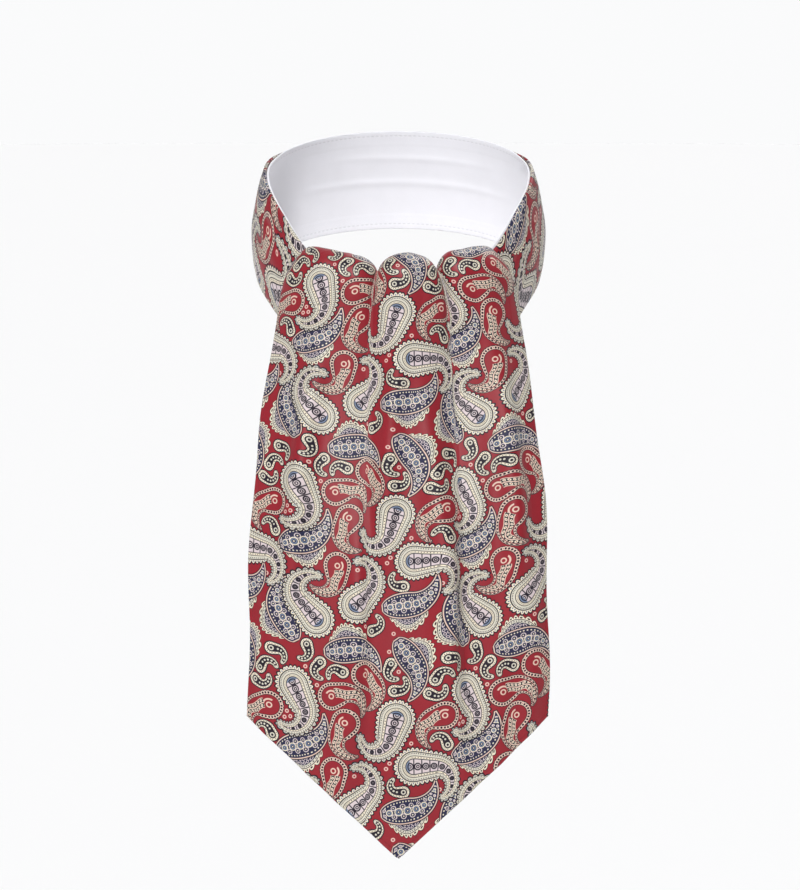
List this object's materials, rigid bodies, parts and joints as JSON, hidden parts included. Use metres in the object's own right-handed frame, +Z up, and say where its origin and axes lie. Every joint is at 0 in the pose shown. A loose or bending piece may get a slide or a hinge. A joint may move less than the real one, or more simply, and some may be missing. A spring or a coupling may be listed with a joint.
{
  "type": "silk day cravat",
  "caption": "Printed silk day cravat in its worn form: a lined neckband crossed at the throat, a pointed blade falling over it in soft puffs and a second blade behind",
  "frame": {"origin": "on the axis of the neck that wears it, at half the height of the neckband's sides: the mount neck_hold", "axes": "+Z up, the wearer faces -Y, +X is the viewer's right from the front"},
  "size_m": [0.1578, 0.2078, 0.3621],
  "materials": {
    "silk": "printed silk twill, red ground with cream, grey-green and navy paisleys, soft satin sheen",
    "lining": "plain white fine cotton, matt"
  },
  "bodies": {
    "root": {"neckband_back": "silk", "neckband_left": "silk", "neckband_right": "silk", "neckband_lining": "lining", "blade_over": "silk", "blade_over_rise": "silk", "blade_under": "silk"}
  },
  "joints": []
}
